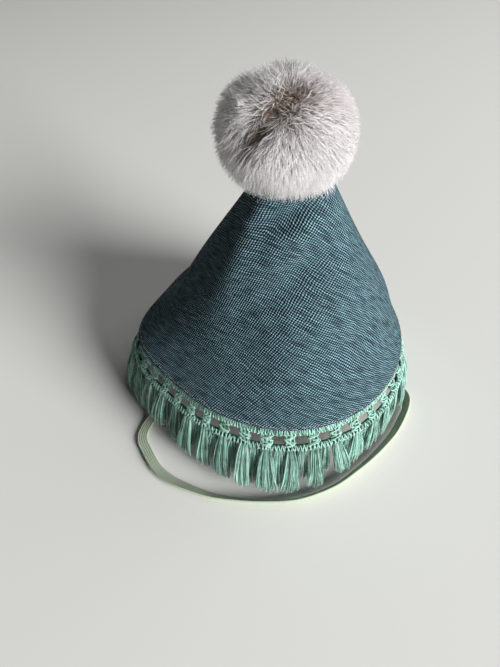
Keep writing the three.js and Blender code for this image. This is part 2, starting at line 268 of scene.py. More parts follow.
# Route of the elastic in millimetres, and how far the band stands on its edge there, from 0, lying flat, to 1
# or -1. Below 0 it is the outer edge that is raised.
ELASTIC_ROUTE = (
    (-42.2, -18.1, 35.5, 0),
    (-42.9, -18.4, 28, 0),
    (-44.2, -19.1, 19.5, 0),
    (-46.6, -20.9, 11.5, 0),
    (-49.3, -24.2, 5.2, 0),
    (-51.7, -29.4, 1.9, 0),
    (-54.3, -34.2, 0.8, 0),
    (-55.4, -39, 0.8, 0),
    (-54.6, -43.2, 0.9, -0.05),
    (-52.5, -46.9, 0.9, -0.05),
    (-50, -51.3, 1.1, -0.1),
    (-46.8, -55.8, 1.2, -0.15),
    (-39.8, -61.6, 1.5, -0.25),
    (-32.4, -65.2, 1.8, -0.35),
    (-22.8, -68.7, 2, -0.45),
    (-13.5, -70.4, 2.2, -0.55),
    (-2, -71.3, 2.3, -0.6),
    (12.3, -70.4, 2.4, -0.65),
    (20.3, -67.8, 2.4, -0.65),
    (28.8, -63.7, 2.4, -0.65),
    (35.7, -58.8, 2.4, -0.65),
    (42.5, -53.3, 2.3, -0.6),
    (50, -46.2, 2.2, -0.55),
    (57, -38.3, 2.1, -0.5),
    (62, -30.6, 2.1, -0.5),
    (65, -25.1, 2.3, -0.6),
    (66.2, -18.6, 1.8, -0.35),
    (64.8, -13, 0.8, 0),
    (61, -9.8, 1.9, 0),
    (57.4, -8.5, 5.2, 0),
    (54.9, -8, 11.5, 0),
    (53.9, -7.8, 19.5, 0),
    (53.3, -7.7, 28, 0),
    (52.9, -7.6, 35.5, 0),
)
ELASTIC_STEPS = 300
ROUTE_FINENESS = 4  # points worked out for each step
RIB_POINTS = 6
RIB_DEPTH = 0.22  # as a share of half the band's thickness

# Camera, as the photograph was taken
CAMERA_PLACE = np.array((-7.4, -165.3, 191.2)) * MM
CAMERA_TILT = 45
CAMERA_LENS = 27.04
CAMERA_SENSOR = 36

# Lights: azimuth, elevation, distance and size across of a wide window at the right and of a soft light
# overhead
KEY_LIGHT = (320, 18, 3.5, 2.1)
TOP_LIGHT = (30, 55, 2.6, 2.4)
FLOOR_SIDE = 6


def linear(code):
    """A linear colour from an sRGB hex code."""
    shares = [int(code[i:i + 2], 16) / 255 for i in (1, 3, 5)]
    return tuple(s / 12.92 if s <= 0.04045 else ((s + 0.055) / 1.055) ** 2.4 for s in shares)


def size(name, description, default):
    """A length that a user can change."""
    return FloatProperty(
        name=name, description=description, default=default, min=0, unit="LENGTH", precision=5)


def colour(name, description, code):
    """A colour that a user can change."""
    return FloatVectorProperty(
        name=name, description=description, default=linear(code), subtype="COLOR", min=0, max=1)


def count(name, description, default):
    """A number of things that a user can change."""
    return IntProperty(name=name, description=description, default=default, min=1)


class PARTYHAT_PG_cloth(bpy.types.PropertyGroup):
    """Crown cloth and the thread that hems it."""

    pitch: size("Weave pitch", "Distance between neighbouring diagonal rows of floats", 1.03 * MM)
    pitch_across: size("Pitch across", "Distance between the rows the other way", 0.79 * MM)
    light: colour("Light yarn", "Colour of the yarns of one direction", "#86aab5")
    dark: colour("Dark yarn", "Colour of the yarns of the other direction", "#04131b")
    back: colour("Back", "Colour of the plain back of the cloth", "#f2e8df")
    stitch: colour("Hem thread", "Colour of the stitches along the rim", "#a59c99")
    stitch_pitch: size("Stitch pitch", "Distance between stitches of the hem", 1.4 * MM)


class PARTYHAT_PG_fur(bpy.types.PropertyGroup):
    """Pompom pile."""

    hair: size("Hair radius", "Half the thickness of a hair at its root", 0.13 * MM)
    underfur: count("Underfur", "Number of short hairs near the core", 7000)
    pile: count("Pile", "Number of hairs in the locks", 9400)
    guard: count("Guard hairs", "Number of fine hairs between the locks", 13800)
    # Hair ends mix from body to tip by their tone, which is painted light low at the front and on the rough
    # tufts, and painted shade in the grooves
    tip: colour("Tip", "Colour of the ends of the palest hairs", "#f4f0f0")
    body: colour("Body", "Colour of the ends of the other hairs", "#898082")
    root: colour("Root", "Colour of the hairs where they leave the core", "#8a7663")


class PARTYHAT_PG_yarn(bpy.types.PropertyGroup):
    """Crochet heading and tassels."""

    radius: size("Yarn radius", "Half the thickness of the yarn of the heading", 0.24 * MM)
    strand: size("Strand radius", "Half the thickness of a strand of a tassel", 0.2 * MM)
    strands: count("Strands", "Number of strands in a tassel under a post", 76)
    strands_back: count("Strands behind", "Number of strands in a tassel behind a hole", 44)
    light: colour("Light", "Colour of the lightest strands", "#9ccabb")
    dark: colour("Dark", "Colour of the darkest strands", "#2a5548")


class PARTYHAT_PG_elastic(bpy.types.PropertyGroup):
    """Chin elastic."""

    width: size("Width", "Width of the band", 4.5 * MM)
    thickness: size("Thickness", "Thickness of the band", 1 * MM)
    ribs: count("Ribs", "Number of knitted ribs across the band", 5)
    # Painted shade: the dark colour is laid where the knit lies lower, between ribs and stitches
    light: colour("Light", "Colour of the ribs", "#bfc9b4")
    dark: colour("Dark", "Colour between the ribs", "#86947d")


class PARTYHAT_PG_stage(bpy.types.PropertyGroup):
    """Floor, light and camera."""

    floor: colour("Floor", "Colour of the floor", "#e4e4e0")
    key: FloatProperty(name="Key light", description="Strength of the window", default=284, unit="POWER")
    top: FloatProperty(name="Top light", description="Strength of the one overhead", default=17, unit="POWER")
    fill: FloatProperty(name="Fill", description="Strength of the light from all round", default=0.025, min=0)


class PARTYHAT_PG_settings(bpy.types.PropertyGroup):
    """All settings of the hat."""

    cloth: PointerProperty(type=PARTYHAT_PG_cloth)
    fur: PointerProperty(type=PARTYHAT_PG_fur)
    yarn: PointerProperty(type=PARTYHAT_PG_yarn)
    elastic: PointerProperty(type=PARTYHAT_PG_elastic)
    stage: PointerProperty(type=PARTYHAT_PG_stage)


def rgba(shades):
    """A colour setting with full opacity, as shader sockets take it."""
    return (*shades, 1)


def add_node(tree, kind, inputs, **settings):
    """Adds one node. An input is a value, or a socket to link from."""
    node = tree.nodes.new(kind)
    for name, value in settings.items():
        setattr(node, name, value)
    for key, value in inputs.items():
        if isinstance(value, bpy.types.NodeSocket):
            tree.links.new(value, node.inputs[key])
        else:
            node.inputs[key].default_value = value
    return node


# Sockets of a colour mix
MIX_A = 6
MIX_B = 7
MIX_COLOUR = 2


def new_material(name):
    """An empty node material and its tree."""
    material = bpy.data.materials.new(name)
    material.use_nodes = True
    material.node_tree.nodes.clear()
    return material, material.node_tree


def finish_material(tree, inputs):
    """Closes a material with its shader."""
    shader = add_node(tree, "ShaderNodeBsdfPrincipled", inputs)
    add_node(tree, "ShaderNodeOutputMaterial", {"Surface": shader.outputs["BSDF"]})


def place(mesh, name, material, node):
    """Puts a mesh into the scene as a piece of the hat that stands for a node of the part."""
    piece = bpy.data.objects.new(name, mesh)
    bpy.context.scene.collection.objects.link(piece)
    mesh.materials.append(material)
    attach(piece, "root")
    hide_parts(node)
    return piece


def unit(vectors):
    """Vectors of length 1 along these."""
    return vectors / np.linalg.norm(vectors, axis=-1, keepdims=True)


def square_to(vectors, directions):
    """What is left of vectors square to unit directions."""
    return vectors - (vectors * directions).sum(-1, keepdims=True) * directions


def strand_mesh(name, paths, radii, sides, **values):
    """Closed tubes as one smooth mesh.

    paths is (strands, points, 3), radii and each named value (strands, points) or a shape that spreads to it.
    """
    strands, points, _ = paths.shape
    along = unit(np.gradient(paths, axis=1))
    across = np.empty_like(paths)
    side = np.where(np.abs(along[:, 0, 2:]) < 0.9, UP, (1.0, 0.0, 0.0))
    for i in range(points):
        side = unit(square_to(side, along[:, i]))
        across[:, i] = side
    other = np.cross(along, across)
    turn = (np.arange(sides) * math.tau / sides)[:, None]
    ring = np.cos(turn) * across[:, :, None] + np.sin(turn) * other[:, :, None]
    corners = paths[:, :, None] + np.broadcast_to(radii, (strands, points))[:, :, None, None] * ring
    index = np.arange(strands * points * sides).reshape(strands, points, sides)
    nearby = np.roll(index, -1, axis=2)
    walls = np.stack((index[:, :-1], nearby[:, :-1], nearby[:, 1:], index[:, 1:]), axis=-1)
    faces = walls.reshape(-1, 4).tolist() + index[:, 0, ::-1].tolist() + index[:, -1].tolist()
    mesh = bpy.data.meshes.new(name)
    mesh.from_pydata(corners.reshape(-1, 3), [], faces)
    for label, value in values.items():
        spread = np.broadcast_to(value, (strands, points))
        layer = mesh.attributes.new(label, "FLOAT", "POINT")
        layer.data.foreach_set("value", np.repeat(spread.ravel(), sides).astype(np.float32))
    mesh.shade_smooth()
    return mesh


def bm_to_mesh(bm, name):
    """A smooth mesh from a bmesh, which is freed."""
    mesh = bpy.data.meshes.new(name)
    bm.to_mesh(mesh)
    bm.free()
    mesh.shade_smooth()
    return mesh


def swelling(distance, half_width):
    """1 at the middle of a swelling and 0 well outside it."""
    return np.exp(-(distance / half_width) ** 2)


def turn_between(start, end):
    """The turn from one azimuth to another, from -180 to 180 degrees."""
    return (end - start + 180) % 360 - 180


def move_corners(bm, points):
    """Moves each vertex to its point."""
    for vertex, point in zip(bm.verts, points):
        vertex.co = point


def spin_round(bm, corners, pairs):
    """Joins pairs of corners by edges and spins them once round +Z."""
    edges = [bm.edges.new(pair) for pair in pairs]
    bmesh.ops.spin(bm, geom=corners + edges, axis=(0, 0, 1), angle=math.tau, steps=CROWN_SEGMENTS,
                   use_merge=True)


def press_spun(bm):
    """Merges the seams of spun walls, turns their faces out and presses them into the hat's form."""
    bmesh.ops.remove_doubles(bm, verts=bm.verts, dist=TINY)
    bmesh.ops.recalc_face_normals(bm, faces=bm.faces)
    points = np.array([v.co for v in bm.verts])
    azimuth = np.degrees(np.arctan2(points[:, 1], points[:, 0]))
    move_corners(bm, press(azimuth, np.hypot(points[:, 0], points[:, 1]), points[:, 2]))


def walk(points):
    """How far along a line of points each one is."""
    return np.concatenate(((0,), np.cumsum(np.linalg.norm(np.diff(points, axis=0), axis=1))))


def along_line(at, marks, points):
    """Points on the straight stretches between the points of a line, which have these marks."""
    return np.stack([np.interp(at, marks, points[:, axis]) for axis in range(3)], axis=1)


def smooth_through(marks, spots, slopes, at):
    """A smooth curve that passes spots at rising marks with these slopes, read at other places."""
    row = np.clip(np.searchsorted(marks, at, side="right") - 1, 0, len(marks) - 2)
    spread = np.shape(at) + (1,) * (spots.ndim - 1)
    span = np.reshape(marks[row + 1] - marks[row], spread)
    t = np.reshape(at - marks[row], spread) / span
    rise = t * t * (3 - 2 * t)
    leave = t * (1 - t) ** 2 * span * slopes[row]
    arrive = t * t * (1 - t) * span * slopes[row + 1]
    return spots[row] * (1 - rise) + spots[row + 1] * rise + leave - arrive


def section_curve(height, column):
    """A smooth curve through one column of the crown's sections."""
    heights = CROWN_SECTIONS[:, 0]
    values = CROWN_SECTIONS[:, column]
    secants = np.diff(values) / np.diff(heights)
    slopes = np.concatenate((secants[:1], (secants[1:] + secants[:-1]) / 2, secants[-1:]))
    return smooth_through(heights, values, slopes, np.clip(height, heights[0], heights[-1]))


def crown_radius(height):
    """Mean radius of the cloth's outer face, at a height above the rim."""
    return section_curve(height, 1)


def crown_slip(height):
    """How far the cone's middle has slipped towards +X."""
    return section_curve(height, 2)


def fold_depth(azimuth, height):
    """How far the folds push the cloth out."""
    depth = 0
    for middle, half_width, level, spread, push, climb in CROWN_FOLDS:
        turn = turn_between(middle, azimuth)
        rise = height - (level + climb * turn) * MM
        depth = depth + push * MM * swelling(turn, half_width) * swelling(rise, spread * MM)
    return depth


def press(azimuth, radius, z):
    """Points of a round, upright shape, pressed into the hat's own form.

    What hangs below the rim follows the rim.
    """
    height = np.maximum(z - RIM_HEIGHT, 0)
    pressed = radius + fold_depth(azimuth, height) * np.minimum(radius / FOLD_FADE_RADIUS, 1)
    angle = np.radians(azimuth)
    x = HAT_CENTRE[0] + crown_slip(height) + pressed * np.cos(angle)
    y = HAT_CENTRE[1] + pressed * np.sin(angle)
    return np.stack(np.broadcast_arrays(x, y, z), axis=-1)


def around_crown(points):
    """Azimuth round the crown's own middle, distance from it and height above the rim."""
    height = points[..., 2] - RIM_HEIGHT
    x = points[..., 0] - HAT_CENTRE[0] - crown_slip(height)
    y = points[..., 1] - HAT_CENTRE[1]
    return np.degrees(np.arctan2(y, x)), np.hypot(x, y), height


def heading_radius(drop):
    """Radius of the heading's outer face, at a drop below the rim."""
    below = np.maximum(drop, 0)
    return crown_radius(-drop) - CLOTH_WALL - HEADING_GAP + HEADING_SPREAD * below / HEADING_DROP


class Chance:
    """Repeatable numbers from 0 to 1, drawn as the part's tassels are."""

    WORD = 0xFFFFFFFF
    STEP = 0x6D2B79F5

    def __init__(self, seed):
        self.state = seed
        self.draw()

    def draw(self):
        self.state = self.state + self.STEP & self.WORD
        mixed = (self.state ^ self.state >> 15) * (self.state | 1) & self.WORD
        mixed ^= mixed + ((mixed ^ mixed >> 7) * (mixed | 61) & self.WORD) & self.WORD
        return (mixed ^ mixed >> 14) / (self.WORD + 1)


def ball_directions(number, rng, jitter):
    """Directions spread evenly over a ball, a little out of order."""
    step = np.arange(number)
    rise = 1 - (2 * step + 1) / number
    angle = step * math.pi * (3 - math.sqrt(5))
    flat = np.sqrt(1 - rise ** 2)
    directions = np.stack((flat * np.cos(angle), flat * np.sin(angle), rise), axis=1)
    return unit(directions + rng.normal(0, jitter, directions.shape))


def heading_from(azimuth, elevation):
    """Unit directions from azimuth and elevation in degrees."""
    a = np.radians(azimuth)
    e = np.radians(elevation)
    return np.stack((np.cos(e) * np.cos(a), np.cos(e) * np.sin(a), np.sin(e)), axis=-1)


def woven_cloth(settings):
    """Plain-weave upholstery cloth, woven from a light yarn one way and a near-black one the other.

    Each light float shows as a small bright dash between dark ones, so the cloth reads as fine diagonal lines
    of dots. Yarns differ a little in shade, and the face is matt. The back, inside the hat, is plain and
    pale.
    """
    material, tree = new_material("plain_weave_upholstery_cloth")
    flat = add_node(tree, "ShaderNodeUVMap", {}, uv_map="flat_cut")
    # Yarns wander sideways over a few rows
    wander = add_node(tree, "ShaderNodeTexNoise", {
        "Vector": flat.outputs["UV"], "Scale": 1 / (3 * settings.pitch), "Detail": 1,
    })
    reach = YARN_WANDER * settings.pitch
    cut = add_node(tree, "ShaderNodeVectorMath", {
        0: wander.outputs["Color"], 1: (reach, reach, 0), 2: flat.outputs["UV"],
    }, operation="MULTIPLY_ADD")
    rows = add_node(tree, "ShaderNodeMapping", {
        "Vector": cut.outputs["Vector"],
        "Rotation": (0, 0, -math.radians(WEAVE_TURN)),
        "Scale": (1 / settings.pitch, 1 / settings.pitch_across, 1),
    })
    turns = add_node(tree, "ShaderNodeVectorMath", {0: rows.outputs["Vector"], 1: (math.tau,) * 3},
                     operation="MULTIPLY")
    waves = add_node(tree, "ShaderNodeVectorMath", {0: turns.outputs["Vector"]}, operation="COSINE")
    wave = add_node(tree, "ShaderNodeSeparateXYZ", {"Vector": waves.outputs["Vector"]})
    # The second set of floats shows more on the hat's left, as painted light for the grazing light there, and
    # in random patches
    place_on = add_node(tree, "ShaderNodeSeparateXYZ", {"Vector": flat.outputs["UV"]})
    side_light = add_node(tree, "ShaderNodeMapRange", {
        "Value": place_on.outputs["X"], "From Min": -SIDE_LIGHT_REACH, "From Max": SIDE_LIGHT_REACH,
        "To Min": SIDE_LIGHT_SHARES[0], "To Max": SIDE_LIGHT_SHARES[1],
    })
    patch = add_node(tree, "ShaderNodeTexNoise", {
        "Vector": flat.outputs["UV"], "Scale": 1 / SECOND_SET_PATCH, "Detail": 1,
    })
    weight = add_node(tree, "ShaderNodeMath", {0: patch.outputs["Fac"], 1: side_light.outputs["Result"]},
                      operation="ADD")
    over = add_node(tree, "ShaderNodeMath", {
        0: wave.outputs["Y"], 1: weight.outputs["Value"], 2: wave.outputs["X"],
    }, operation="MULTIPLY_ADD")
    light = add_node(tree, "ShaderNodeMapRange", {
        "Value": over.outputs["Value"], "From Min": -0.35, "From Max": 1,
    }, interpolation_type="SMOOTHSTEP")
    # Slubs: shade differs from row to row and drifts along each
    slubs = add_node(tree, "ShaderNodeMapping", {"Vector": rows.outputs["Vector"], "Scale": (1, 0.15, 1)})
    slub = add_node(tree, "ShaderNodeTexNoise", {
        "Vector": slubs.outputs["Vector"], "Scale": 0.9, "Detail": 2,
    })
    shade = add_node(tree, "ShaderNodeMapRange", {
        "Value": slub.outputs["Fac"], "From Min": 0.3, "From Max": 0.65, "To Min": 0.25, "To Max": 1,
    })
    share = add_node(tree, "ShaderNodeMath", {0: light.outputs["Result"], 1: shade.outputs["Result"]},
                     operation="MULTIPLY")
    yarn = add_node(tree, "ShaderNodeMix", {
        "Factor": share.outputs["Value"], MIX_A: rgba(settings.dark), MIX_B: rgba(settings.light),
    }, data_type="RGBA")
    back = add_node(tree, "ShaderNodeAttribute", {}, attribute_name="back")
    face = add_node(tree, "ShaderNodeMix", {
        "Factor": back.outputs["Fac"], MIX_A: yarn.outputs[MIX_COLOUR], MIX_B: rgba(settings.back),
    }, data_type="RGBA")
    bump = add_node(tree, "ShaderNodeBump", {
        "Strength": 0.7, "Distance": 0.18 * settings.pitch, "Height": over.outputs["Value"],
    })
    finish_material(tree, {
        "Base Color": face.outputs[MIX_COLOUR], "Normal": bump.outputs["Normal"],
        "Roughness": 0.85, "IOR": 1.5, "Specular IOR Level": 0.12,
    })
    return material


def long_pile(settings):
    """Faux fur of fine acrylic pile: brownish grey roots that show where it parts, and ends from warm grey to
    near white by a tone that holds painted light and shade.
    """
    material, tree = new_material("acrylic_pile_fur")
    along = add_node(tree, "ShaderNodeAttribute", {}, attribute_name="along")
    tone = add_node(tree, "ShaderNodeAttribute", {}, attribute_name="tone")
    rise = add_node(tree, "ShaderNodeMapRange", {
        "Value": along.outputs["Fac"], "From Min": 0.25, "From Max": 0.85,
    }, interpolation_type="SMOOTHSTEP")
    end = add_node(tree, "ShaderNodeMix", {
        "Factor": tone.outputs["Fac"], MIX_A: rgba(settings.body), MIX_B: rgba(settings.tip),
    }, data_type="RGBA")
    hair = add_node(tree, "ShaderNodeMix", {
        "Factor": rise.outputs["Result"], MIX_A: rgba(settings.root), MIX_B: end.outputs[MIX_COLOUR],
    }, data_type="RGBA")
    finish_material(tree, {
        "Base Color": hair.outputs[MIX_COLOUR],
        "Roughness": 0.7, "IOR": 1.5, "Specular IOR Level": 0.2,
        "Subsurface Weight": 0.5, "Subsurface Radius": (1, 0.95, 0.9), "Subsurface Scale": 1 * MM,
    })
    return material


def spun_yarn(settings):
    """Mercerised cotton yarn, smooth and a little silky: strands catch light and let some through."""
    material, tree = new_material("mercerised_cotton_yarn")
    tone = add_node(tree, "ShaderNodeAttribute", {}, attribute_name="tone")
    place_on = add_node(tree, "ShaderNodeTexCoord", {})
    # Patches of about 4 mm where the dye took more or less
    patch = add_node(tree, "ShaderNodeTexNoise", {
        "Vector": place_on.outputs["Object"], "Scale": 1 / (4 * MM), "Detail": 2,
    })
    mixed = add_node(tree, "ShaderNodeMath", {0: tone.outputs["Fac"], 1: 0.75, 2: patch.outputs["Fac"]},
                     operation="MULTIPLY_ADD")
    share = add_node(tree, "ShaderNodeMapRange", {
        "Value": mixed.outputs["Value"], "From Min": 0.35, "From Max": 1.15,
    })
    yarn = add_node(tree, "ShaderNodeMix", {
        "Factor": share.outputs["Result"], MIX_A: rgba(settings.dark), MIX_B: rgba(settings.light),
    }, data_type="RGBA")
    finish_material(tree, {
        "Base Color": yarn.outputs[MIX_COLOUR],
        "Roughness": 0.55, "IOR": 1.5, "Specular IOR Level": 0.4, "Sheen Weight": 0.2, "Sheen Roughness": 0.4,
        "Subsurface Weight": 0.6, "Subsurface Radius": (0.9, 1, 0.95), "Subsurface Scale": 0.8 * MM,
    })
    return material


def knit_elastic(settings):
    """Knitted elastic: matt ribs along the band, with small chevrons of stitches on each, coloured darker
    where the knit lies lower as painted shade.
    """
    material, tree = new_material("knitted_elastic")
    band = add_node(tree, "ShaderNodeUVMap", {}, uv_map="band")
    rib = settings.width / settings.ribs
    knit = add_node(tree, "ShaderNodeMapping", {
        "Vector": band.outputs["UV"], "Scale": (1 / rib, 1 / rib, 1),
    })
    axes = add_node(tree, "ShaderNodeSeparateXYZ", {"Vector": knit.outputs["Vector"]})
    zigzag = add_node(tree, "ShaderNodeMath", {0: axes.outputs["X"], 1: 0.5}, operation="PINGPONG")
    slanted = add_node(tree, "ShaderNodeMath", {0: axes.outputs["Y"], 1: zigzag.outputs["Value"]},
                       operation="ADD")
    stitch = add_node(tree, "ShaderNodeMath", {0: slanted.outputs["Value"], 1: 0.5}, operation="PINGPONG")
    raised = add_node(tree, "ShaderNodeMath", {0: stitch.outputs["Value"], 1: zigzag.outputs["Value"]},
                      operation="ADD")
    # Painted shade: the colour darkens where the knit lies lower, as the bump does
    shade = add_node(tree, "ShaderNodeMix", {
        "Factor": raised.outputs["Value"], MIX_A: rgba(settings.dark), MIX_B: rgba(settings.light),
    }, data_type="RGBA")
    bump = add_node(tree, "ShaderNodeBump", {
        "Strength": 0.6, "Distance": 0.3 * rib, "Height": raised.outputs["Value"],
    })
    finish_material(tree, {
        "Base Color": shade.outputs[MIX_COLOUR], "Normal": bump.outputs["Normal"],
        "Roughness": 0.8, "IOR": 1.5, "Specular IOR Level": 0.3, "Sheen Weight": 0.1,
    })
    return material


def sewing_thread(settings):
    """Polyester sewing thread, a thin pale line that darkens where it dips into the cloth at each stitch."""
    material, tree = new_material("polyester_sewing_thread")
    along = add_node(tree, "ShaderNodeAttribute", {}, attribute_name="along")
    middle = add_node(tree, "ShaderNodeMath", {0: along.outputs["Fac"], 1: 0.5}, operation="PINGPONG")
    shown = add_node(tree, "ShaderNodeMapRange", {"Value": middle.outputs["Value"], "From Max": 0.2})
    thread = add_node(tree, "ShaderNodeMix", {
        "Factor": shown.outputs["Result"], MIX_A: rgba(settings.dark), MIX_B: rgba(settings.stitch),
    }, data_type="RGBA")
    finish_material(tree, {"Base Color": thread.outputs[MIX_COLOUR], "Roughness": 0.5, "IOR": 1.5})
    return material


def painted_floor(settings):
    """Matt pale paint with the slight unevenness of a rolled coat."""
    material, tree = new_material("matt_paint_floor")
    place_on = add_node(tree, "ShaderNodeTexCoord", {})
    patch = add_node(tree, "ShaderNodeTexNoise", {
        "Vector": place_on.outputs["Object"], "Scale": 1 / (60 * MM),
    })
    rough = add_node(tree, "ShaderNodeMapRange", {
        "Value": patch.outputs["Fac"], "To Min": 0.85, "To Max": 1,
    })
    finish_material(tree, {
        "Base Color": rgba(settings.floor), "Roughness": rough.outputs["Result"], "Specular IOR Level": 0.02,
    })
    return material


class PARTYHAT_OT_stage(bpy.types.Operator):
    """Set the floor, the lights and the camera"""

    bl_idname = "party_hat.stage"
    bl_label = "Stage"

    def execute(self, context):
        settings = context.scene.party_hat.stage
        scene = context.scene
        scene.view_settings.view_transform = "Standard"
        lens = bpy.data.cameras.new("camera")
        lens.lens = CAMERA_LENS
        lens.sensor_width = CAMERA_SENSOR
        lens.clip_start = 10 * MM
        camera = bpy.data.objects.new("camera", lens)
        camera.location = CAMERA_PLACE
        camera.rotation_euler = (math.radians(CAMERA_TILT), 0, 0)
        scene.collection.objects.link(camera)
        scene.camera = camera

        bm = bmesh.new()
        bmesh.ops.create_grid(bm, x_segments=4, y_segments=4, size=FLOOR_SIDE / 2)
        floor = bpy.data.objects.new("floor", bm_to_mesh(bm, "floor"))
        floor.data.materials.append(painted_floor(settings))
        scene.collection.objects.link(floor)

        self.hang("key", *KEY_LIGHT, settings.key)
        self.hang("top", *TOP_LIGHT, settings.top)

        world = bpy.data.worlds.new("soft_fill")
        world.use_nodes = True
        tree = world.node_tree
        tree.nodes.clear()
        sky = add_node(tree, "ShaderNodeBackground", {"Color": (1, 1, 1, 1), "Strength": settings.fill})
        add_node(tree, "ShaderNodeOutputWorld", {"Surface": sky.outputs["Background"]})
        scene.world = world
        return {"FINISHED"}

    def hang(self, name, azimuth, elevation, distance, across, power):
        """Hangs a round soft light that faces the hat."""
        light = bpy.data.lights.new(name, "AREA")
        light.shape = "DISK"
        light.size = across
        light.energy = power
        lamp = bpy.data.objects.new(name, light)
        lamp.location = distance * heading_from(azimuth, elevation)
        lamp.rotation_euler = (math.radians(90 - elevation), 0, math.radians(90 + azimuth))
        bpy.context.scene.collection.objects.link(lamp)


def elastic_route(steps):
    """Even points along the elastic, how far the band stands on its edge at each, and its length."""
    rows = np.array(ELASTIC_ROUTE)
    spots = rows[:, :3] * MM
    mileposts = walk(spots)
    slopes = np.gradient(spots, mileposts, axis=0)
    fine = np.linspace(0, mileposts[-1], steps * ROUTE_FINENESS)
    line = smooth_through(mileposts, spots, slopes, fine)
    walked = walk(line)
    even = np.linspace(0, walked[-1], steps)
    standing = np.interp(np.interp(even, walked, fine), mileposts, rows[:, 3])
    return along_line(even, walked, line), standing, walked[-1]


class PARTYHAT_OT_elastic(bpy.types.Operator):
    """Lay the knitted chin elastic along its route"""

    bl_idname = "party_hat.elastic"
    bl_label = "Chin elastic"

    def execute(self, context):
        settings = context.scene.party_hat.elastic
        route, standing, length = elastic_route(ELASTIC_STEPS)
        along = unit(np.gradient(route, axis=0))
        tilt = standing[:, None] * math.pi / 2
        level = unit(np.stack((-along[:, 1], along[:, 0], np.zeros(len(along))), axis=1))
        width = unit(square_to(np.cos(tilt) * level + np.sin(tilt) * UP, along))
        face = np.cross(width, along)

        # One face of the band has a row of ribs, and the section runs round both faces
        ribs = settings.ribs
        steps = np.linspace(-1, 1, RIB_POINTS * ribs + 1)[1:-1]
        rib = 1 - RIB_DEPTH + RIB_DEPTH * np.abs(np.sin((steps + 1) * ribs * math.pi / 2))
        half_width = settings.width / 2
        half = settings.thickness / 2
        across = np.concatenate(((-1,), steps, (1,), steps[::-1])) * half_width
        through = np.concatenate(((0,), rib, (0,), -rib[::-1])) * half
        corners = route[:, None] + across[:, None] * width[:, None] + through[:, None] * face[:, None]

        rows, round_points = corners.shape[:2]
        index = np.arange(rows * round_points).reshape(rows, round_points)
        nearby = np.roll(index, -1, axis=1)
        walls = np.stack((index[:-1], index[1:], nearby[1:], nearby[:-1]), axis=-1)
        faces = walls.reshape(-1, 4).tolist() + [index[0].tolist(), index[-1, ::-1].tolist()]
        mesh = bpy.data.meshes.new("chin_elastic_band")
        mesh.from_pydata(corners.reshape(-1, 3), [], faces)
        run = np.linspace(0, length, rows)
        flat = np.stack(np.broadcast_arrays(across[None], run[:, None]), axis=-1).reshape(-1, 2)
        layer = mesh.uv_layers.new(name="band")
        loops = np.empty(len(mesh.loops), int)
        mesh.loops.foreach_get("vertex_index", loops)
        layer.data.foreach_set("uv", flat[loops].ravel())
        mesh.shade_smooth()
        band = place(mesh, "chin_elastic_band", knit_elastic(settings), "chin_elastic")
        return {"FINISHED"}


class PARTYHAT_OT_crown(bpy.types.Operator):
    """Sew the cloth cone with its folds, hem and closed tip"""

    bl_idname = "party_hat.crown"
    bl_label = "Crown"

    def execute(self, context):
        settings = context.scene.party_hat.cloth
        bm = self.shell()
        hem = [e for e in bm.edges if max(v.co.z for v in e.verts) < RIM_HEIGHT + HEM_HEIGHT
               and len(e.link_faces) == 2 and e.calc_face_angle() > HEM_SHARP]
        bmesh.ops.bevel(bm, geom=hem, offset=HEM_ROUNDING, segments=3, profile=0.5, affect="EDGES",
                        material=-1)
        self.lay_flat(bm)
        self.mark_back(bm)
        mesh = bm_to_mesh(bm, "crown_cloth")
        crown = place(mesh, "crown_cloth", woven_cloth(settings), "crown")
        return {"FINISHED"}

    def shell(self):
        """The wall of the folded cone, closed at the tip."""
        heights = np.linspace(0, CROWN_SHOULDER, CROWN_LEVELS)
        tip = RIM_HEIGHT + CROWN_TIP
        bm = bmesh.new()
        outline = [bm.verts.new((crown_radius(h), 0, RIM_HEIGHT + h)) for h in heights]
        outline.append(bm.verts.new((crown_radius(CROWN_SHOULDER) / 2, 0, tip - TIP_ROUNDING)))
        outline.append(bm.verts.new((0, 0, tip)))
        spin_round(bm, outline, zip(outline, outline[1:]))
        press_spun(bm)
        bmesh.ops.solidify(bm, geom=bm.faces[:], thickness=CLOTH_THICKNESS)
        bm.normal_update()
        return bm

    def lay_flat(self, bm):
        """Maps each face to the flat cut of the cloth, in metres, with the cone's point at its origin."""
        layer = bm.loops.layers.uv.new("flat_cut")
        front = SEAM_AZIMUTH + 180
        for face in bm.faces:
            middle, _, _ = around_crown(np.array(face.calc_center_median()))
            for loop in face.loops:
                azimuth, _, height = around_crown(np.array(loop.vert.co))
                turn = turn_between(front, middle) + turn_between(middle, azimuth)
                angle = math.radians(turn) * CONE_SINE
                slant = crown_radius(height) / CONE_SINE
                loop[layer].uv = (slant * math.sin(angle), -slant * math.cos(angle))

    def mark_back(self, bm):
        """Marks the faces of the cloth's back, which look towards the middle of the rim."""
        layer = bm.faces.layers.float.new("back")
        rim_middle = np.array((*HAT_CENTRE, RIM_HEIGHT))
        bm.normal_update()
        for face in bm.faces:
            inwards = unit(rim_middle - np.array(face.calc_center_median()))
            face[layer] = float(inwards @ np.array(face.normal) > BACK_LEAST)


